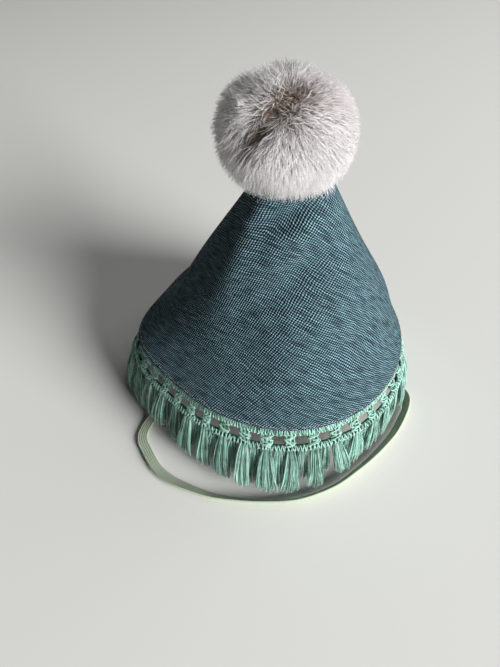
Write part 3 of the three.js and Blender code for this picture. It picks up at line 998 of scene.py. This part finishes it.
class PARTYHAT_OT_rim_stitches(bpy.types.Operator):
    """Sew a row of short stitches along the hem"""

    bl_idname = "party_hat.rim_stitches"
    bl_label = "Rim stitches"

    def execute(self, context):
        settings = context.scene.party_hat.cloth
        rng = np.random.default_rng(STITCH_SEED)
        rim = crown_radius(STITCH_HEIGHT)
        number = round(math.tau * rim / settings.stitch_pitch)
        middle = np.arange(number) * 360 / number + rng.normal(0, STITCH_STRAY[0], number)
        run = np.linspace(-0.5, 0.5, STITCH_POINTS)
        azimuth = middle[:, None] + np.degrees(run * STITCH_LENGTH / rim)
        bow = STITCH_RADIUS * (1 - (2 * run) ** 2) - STITCH_RADIUS / 2
        height = STITCH_HEIGHT + rng.normal(0, STITCH_STRAY[1], (number, 1))
        paths = press(azimuth, crown_radius(height) + bow, RIM_HEIGHT + height + 0 * run)
        mesh = strand_mesh("rim_stitches", paths, STITCH_RADIUS, sides=5, along=run + 0.5)
        place(mesh, "rim_stitches", sewing_thread(settings), "crown")
        return {"FINISHED"}


def near_spot(directions, spot, reach):
    """1 at a spot of the ball, given as azimuth and elevation, and 0 well away from it."""
    return swelling(np.arccos(np.clip(directions @ heading_from(*spot), -1, 1)), reach)


def roughness(nearness):
    """How rough the pile is, from how near the rough spot is."""
    return ROUGH_LEAST + (1 - ROUGH_LEAST) * nearness


def groove_points():
    """Directions close together along the grooves."""
    lines = []
    for groove in PILE_GROOVES:
        rows = heading_from(*np.array(groove, float).T)
        marks = np.arange(len(rows))
        lines.append(along_line(np.linspace(0, marks[-1], GROOVE_POINTS), marks, rows))
    return unit(np.concatenate(lines))


def lean_of_pile(roots):
    """Which way the pile lies at each root, away from a groove and down, and how far off the groove is."""
    grooves = groove_points()
    nearest = grooves[(roots @ grooves.T).argmax(axis=1)]
    away = square_to(roots - nearest, roots)
    distance = np.linalg.norm(away, axis=1, keepdims=True)
    lean = away / (distance + GROOVE_SOFTNESS) * GROOVE_LEAN * swelling(distance, GROOVE_REACH)
    return lean + square_to(-UP + 0 * roots, roots) * PILE_SAG, distance[:, 0]


def clear_of_crown(points):
    """Moves points that would lie in the cloth out to its face."""
    azimuth, distance, height = around_crown(points)
    face = crown_radius(height) + fold_depth(azimuth, height) + CROWN_CLEARANCE
    face = np.where(height > CROWN_TIP + CROWN_CLEARANCE, 0, face)
    push = np.maximum(face / np.maximum(distance, TINY), 1)
    middle = points[..., :2].copy()
    middle[..., 0] = HAT_CENTRE[0] + crown_slip(height)
    middle[..., 1] = HAT_CENTRE[1]
    moved = points.copy()
    moved[..., :2] = middle + (points[..., :2] - middle) * push[..., None]
    return moved


def hair_paths(rng, number, root, reach, spread, clump, points):
    """Hairs that leave the core straight out, lean with the pile and gather into locks.

    root and reach are shares of the ball's radius, spread how much reach differs from hair to hair, and clump
    how far the ends are drawn together.
    """
    roots = ball_directions(number, rng, HAIR_JITTER)
    roots = roots[roots[:, 2] > LOWEST_ROOT]
    locks = ball_directions(LOCKS, rng, LOCK_JITTER)
    lock_lean, _ = lean_of_pile(locks)
    lock_rough = roughness(near_spot(locks, ROUGH_SPOT, ROUGH_REACH))
    stray = rng.normal(0, LOCK_LEAN, locks.shape) * lock_rough[:, None]
    lock_ends = unit(locks + lock_lean + square_to(stray, locks))
    lock_reach = rng.uniform(-1, 1, LOCKS)
    lock_tone = rng.normal(0, 1, LOCKS)
    lean, off_groove = lean_of_pile(roots)
    lock = (roots @ locks.T).argmax(axis=1)
    ends = unit(roots + lean + square_to(rng.normal(0, LOCK_LEAN / 2, roots.shape), roots))
    run = np.linspace(0, 1, points)[None, :, None]
    bend = run ** HAIR_BEND
    direction = unit(roots[:, None] * (1 - bend) + ends[:, None] * bend)
    underneath = np.clip(0.5 - 2 * roots[:, 2], 0, 1)
    left = near_spot(roots, ROUGH_SPOT, ROUGH_REACH)
    rough = np.maximum(roughness(left), ROUGH_BELOW * underneath)
    gather = (clump * rough * rng.uniform(LOCK_GATHER, 1, len(roots)))[:, None, None] * run ** LOCK_CURVE
    direction = unit(direction * (1 - gather) + lock_ends[lock][:, None] * gather)
    groove = swelling(off_groove, GROOVE_HALF_WIDTH)
    uneven = LOCK_UNEVEN * lock_reach[lock] * rough + HAIR_UNEVEN * rng.uniform(-1, 1, len(roots))
    length = reach + spread * uneven + LONG_EXTRA * near_spot(roots, LONG_SPOT, LONG_REACH)
    length = np.minimum(length, LONGEST_HAIR) - GROOVE_DEPTH * groove
    share = root + (length[:, None, None] - root) * run
    paths = POMPOM_CENTRE + direction * share * POMPOM_RADII
    # The ends are painted palest low at the front and on the rough tufts, as painted light, and darker in the
    # grooves, as painted shade
    pale = np.maximum(PAINTED_LIGHT_MIDDLE + roots @ heading_from(*PAINTED_LIGHT_SIDE), left) - GROOVE_PAINTED_SHADE * groove
    tone = pale + LOCK_TONE_SPREAD * lock_tone[lock] * rough + HAIR_TONE_SPREAD * rng.normal(0, 1, len(roots))
    return clear_of_crown(paths), share[..., 0], np.clip(tone, 0, 1)[:, None]


class PARTYHAT_OT_pompom(bpy.types.Operator):
    """Grow the pompom's core, underfur, locks and guard hairs"""

    bl_idname = "party_hat.pompom"
    bl_label = "Pompom"

    def execute(self, context):
        settings = context.scene.party_hat.fur
        material = long_pile(settings)
        place(self.core(), "pompom_core", material, "pompom")
        rng = np.random.default_rng(PILE_SEED)
        for name, counted, root, reach, spread, clump, points, thick in PILE_LAYERS:
            number = getattr(settings, counted)
            paths, share, tone = hair_paths(rng, number, root, reach, spread, clump, points)
            run = np.linspace(0, 1, points)
            radii = settings.hair * thick * (1 - HAIR_TAPER * run ** 1.5)
            along = (share - PILE_FLOOR) / (PILE_TOP - PILE_FLOOR)
            mesh = strand_mesh(name, paths, radii, sides=3, along=along, tone=tone)
            place(mesh, name, material, "pompom")
        return {"FINISHED"}

    def core(self):
        """The backing that the pile grows from, dented below by the crown's tip."""
        bm = bmesh.new()
        bmesh.ops.create_icosphere(bm, subdivisions=4, radius=1)
        points = np.array([v.co for v in bm.verts]) * POMPOM_RADII * POMPOM_CORE + POMPOM_CENTRE
        _, distance, _ = around_crown(points)
        heights = np.linspace(0, CROWN_SHOULDER, 60)
        cloth = np.interp(distance, crown_radius(heights)[::-1], heights[::-1])
        cloth = np.where(distance < crown_radius(CROWN_SHOULDER), CROWN_TIP, cloth)
        points[:, 2] = np.maximum(points[:, 2], RIM_HEIGHT + cloth + CROWN_CLEARANCE)
        move_corners(bm, points)
        mesh = bm_to_mesh(bm, "pompom_core")
        for label in ("along", "tone"):
            mesh.attributes.new(label, "FLOAT", "POINT")
        return mesh


def trim_point(azimuth, drop, out):
    """A point of the heading, out from the middle of its wall."""
    radius = heading_radius(drop) - HEADING_WALL / 2 + out
    return press(azimuth, radius, RIM_HEIGHT - drop)


class PARTYHAT_OT_heading(bpy.types.Operator):
    """Crochet the trim's heading: band of crossing yarns, posts between the holes and lower chain"""

    bl_idname = "party_hat.heading"
    bl_label = "Crochet heading"

    def execute(self, context):
        settings = context.scene.party_hat.yarn
        material = spun_yarn(settings)
        rng = np.random.default_rng(HEADING_SEED)
        for number, (middle, half_height, half_depth, pitch, tone) in enumerate(RIM_COILS):
            name = f"heading_coil_{number + 1}"
            paths = self.coil(rng, middle * MM, half_height * MM, half_depth * MM, pitch * MM)
            points = len(paths[0])
            stretches = rng.normal(0, 1, points // COIL_STRETCH + 1)
            shade = tone + COIL_SHADE * np.repeat(stretches, COIL_STRETCH)[:points]
            mesh = strand_mesh(name, paths, settings.radius, sides=5, tone=np.clip(shade, 0, 1)[None])
            place(mesh, name, material, "fringe_trim")
        paths, thick, tone = self.posts(rng)
        mesh = strand_mesh("heading_posts", paths, settings.radius * thick, sides=5, tone=tone)
        place(mesh, "heading_posts", material, "fringe_trim")
        place(self.backing(), "heading_backing", material, "fringe_trim")
        return {"FINISHED"}

    def coil(self, rng, middle, half_height, half_depth, pitch):
        """A yarn that winds along the rim, round a level line at a drop below it, and not quite evenly."""
        turns = round(math.tau * heading_radius(middle) / abs(pitch))
        share = np.linspace(0, 1, turns * COIL_POINTS + 1)
        uneven = sum(rng.uniform(*COIL_WAVE) * np.sin(math.tau * share * wave + rng.uniform(0, math.tau))
                     for wave in rng.integers(turns // 8, turns // 2, COIL_WAVES))
        phase = math.tau * turns * share * np.sign(pitch) + COIL_UNEVEN[0] * uneven
        drop = middle + half_height * np.sin(phase) * (1 + COIL_UNEVEN[1] * uneven)
        out = half_depth * np.cos(phase)
        return trim_point(SEAM_AZIMUTH + 360 * share, drop, out)[None]

    def posts(self, rng):
        """Yarns that cross as they wind up and down between holes, round three that run straight."""
        hand, core = np.array(POST_YARNS).T
        azimuth = np.repeat(TRIM_TURN + np.arange(TRIM_REPEATS) * 360 / TRIM_REPEATS, len(hand))[:, None]
        number = len(azimuth)
        hand = np.tile(hand, TRIM_REPEATS)[:, None]
        core = np.tile(core, TRIM_REPEATS)[:, None]
        run = np.linspace(0, 1, POST_POINTS)
        twist = hand * (POST_TURNS * math.tau * run + rng.normal(0, POST_STRAY, (number, 1)))
        winding = (hand != 0) * np.cos(twist) * rng.uniform(*POST_SPREAD, (number, 1))
        sideways = POST_HALF_WIDTH * (core + winding)
        out = POST_HALF_DEPTH * np.sin(twist) * (hand != 0)
        drop = HOLE_TOP - POST_OVERLAP + (HOLE_BOTTOM - HOLE_TOP + 2 * POST_OVERLAP) * run
        degrees = np.degrees(sideways / heading_radius(HOLE_BOTTOM))
        tone = np.where(hand, *POST_TONES) + POST_TONE_SPREAD * rng.normal(0, 1, (number, 1))
        return trim_point(azimuth + degrees, drop, out), np.where(hand, 1, POST_CORE), np.clip(tone, 0, 1)

    def backing(self):
        """The thin ground of the band and of the lower chain, behind the yarn that shows, coloured dark as
        painted shade.
        """
        bm = bmesh.new()
        above_holes, below_holes, above_end = BACKING_MARGINS
        bands = (
            (-HEADING_TUCK, 0, HOLE_TOP - above_holes),
            (HOLE_BOTTOM + below_holes, HEADING_DROP - above_end),
        )
        for drops in bands:
            corners = []
            for line, out in ((drops, 0), (drops[::-1], -BACKING_WALL)):
                for drop in line:
                    radius = heading_radius(drop) - HEADING_WALL / 2 + out
                    corners.append(bm.verts.new((radius, 0, RIM_HEIGHT - drop)))
            spin_round(bm, corners, zip(corners, corners[1:] + corners[:1]))
        press_spun(bm)
        mesh = bm_to_mesh(bm, "heading_backing")
        tone = mesh.attributes.new("tone", "FLOAT", "POINT")
        tone.data.foreach_set("value", np.full(len(mesh.vertices), BACKING_PAINTED_SHADE))
        return mesh


class PARTYHAT_OT_tassels(bpy.types.Operator):
    """Hang the strands of the tassels from the heading"""

    bl_idname = "party_hat.tassels"
    bl_label = "Tassels"

    def execute(self, context):
        settings = context.scene.party_hat.yarn
        material = spun_yarn(settings)
        rng = np.random.default_rng(STRAND_SEED)
        chance = Chance(TASSEL_SEED)
        rows = ([], [])
        for i in range(2 * TRIM_REPEATS):
            row = i % 2
            strands = (settings.strands, settings.strands_back)[row]
            rows[row].append(self.tassel(TRIM_TURN + i * 180 / TRIM_REPEATS, row, strands, chance, rng))
        for name, tassels in zip(("tassels_front_row", "tassels_back_row"), rows):
            paths, tones = (np.concatenate(parts) for parts in zip(*tassels))
            run = np.linspace(0, 1, STRAND_POINTS)
            taper = 1 - STRAND_TAPER * run ** 3
            radii = settings.strand * taper * rng.uniform(*STRAND_UNEVEN, (len(paths), 1))
            mesh = strand_mesh(name, paths, radii, sides=4, tone=tones)
            place(mesh, name, material, "fringe_trim")
        return {"FINISHED"}

    def tassel(self, azimuth, row, strands, chance, rng):
        """One tassel's strands: narrow at the chain, spread and swung out below, cut to a ragged point."""
        set_back, swung_in, root_width, tip_width = TASSEL_ROWS[row]
        flare = TASSEL_FLARE[0] + TASSEL_FLARE[1] * chance.draw()
        lift = TASSEL_LIFT * chance.draw() ** TASSEL_LIFT_BIAS
        sway = TASSEL_SWAY * (2 * chance.draw() - 1)
        for middle, half_width, more_flare, more_lift in TASSEL_REGIONS:
            share = swelling(turn_between(middle, azimuth), half_width)
            flare += more_flare * MM * share
            lift = max(lift, more_lift * MM * min(2 * share, 1))
        lift = lift if lift >= TASSEL_REST else 0

        run = np.linspace(0, 1, STRAND_POINTS)
        across = rng.uniform(-1, 1, (strands, 1))
        through = rng.uniform(-1, 1, (strands, 1))
        wander = rng.normal(0, STRAND_WANDER, (strands, 1))
        wander = wander * np.sin(math.pi * run * rng.uniform(1, 2, (strands, 1)))
        wander = wander + rng.normal(0, TASSEL_DRIFT) * run ** 1.5
        fullness = TASSEL_FULLNESS[row] * rng.uniform(*STRAND_UNEVEN)
        sideways = across * (root_width + (fullness * tip_width - root_width) * run ** 0.7) + wander
        depth = through * (TASSEL_HALF_DEPTH[0] + (TASSEL_HALF_DEPTH[1] - TASSEL_HALF_DEPTH[0]) * run)
        depth = depth + rng.normal(0, STRAND_WANDER, (strands, 1)) * np.sin(math.pi * run)
        top = RIM_HEIGHT - TASSEL_TOP
        ragged = TASSEL_RAGGED @ (1, swelling(turn_between(THIN_TASSELS[0], azimuth), THIN_TASSELS[1]))
        cut = lift + STRAND_CLEARANCE + ragged * np.abs(rng.normal(0, 1, (strands, 1)))
        cut = cut + TASSEL_POINT[row] * across ** 2
        z = top + (cut - top) * run
        root = heading_radius(TASSEL_TOP) - HEADING_WALL / 2 - set_back
        out = root + (flare - swung_in) * np.sin(run * math.pi / 2) + depth
        turn = np.radians(azimuth + sway * run)
        x = out * np.cos(turn) - sideways * np.sin(turn)
        y = out * np.sin(turn) + sideways * np.cos(turn)
        paths = press(np.degrees(np.arctan2(y, x)), np.hypot(x, y), z)
        tone = TASSEL_TONES[row] + TASSEL_TONE_SPREAD * rng.normal(0, 1, (strands, 1))
        return paths, np.clip(tone + TASSEL_TIP_TONE * (run - 0.5), 0, 1)


class PARTYHAT_PT_panel(bpy.types.Panel):
    """Lists the steps that make the hat"""

    bl_idname = "PARTYHAT_PT_panel"
    bl_label = "Party hat"
    bl_space_type = "VIEW_3D"
    bl_region_type = "UI"
    bl_category = "Party hat"

    def draw(self, context):
        settings = context.scene.party_hat
        for step, group in STEPS:
            box = self.layout.box()
            box.operator(step.bl_idname)
            for name in getattr(settings, group).__annotations__:
                box.prop(getattr(settings, group), name)


STEPS = (
    (PARTYHAT_OT_stage, "stage"),
    (PARTYHAT_OT_elastic, "elastic"),
    (PARTYHAT_OT_crown, "cloth"),
    (PARTYHAT_OT_rim_stitches, "cloth"),
    (PARTYHAT_OT_heading, "yarn"),
    (PARTYHAT_OT_tassels, "yarn"),
    (PARTYHAT_OT_pompom, "fur"),
)
CLASSES = (
    PARTYHAT_PG_cloth,
    PARTYHAT_PG_fur,
    PARTYHAT_PG_yarn,
    PARTYHAT_PG_elastic,
    PARTYHAT_PG_stage,
    PARTYHAT_PG_settings,
    *(step for step, _ in STEPS),
    PARTYHAT_PT_panel,
)


def register():
    for cls in CLASSES:
        bpy.utils.register_class(cls)
    bpy.types.Scene.party_hat = PointerProperty(type=PARTYHAT_PG_settings)


def unregister():
    del bpy.types.Scene.party_hat
    for cls in reversed(CLASSES):
        bpy.utils.unregister_class(cls)


def main():
    register()
    bpy.ops.party_hat.stage()
    bpy.ops.party_hat.elastic()
    bpy.ops.party_hat.crown()
    bpy.ops.party_hat.rim_stitches()
    bpy.ops.party_hat.heading()
    bpy.ops.party_hat.tassels()
    bpy.ops.party_hat.pompom()


if __name__ == "__main__":
    main()
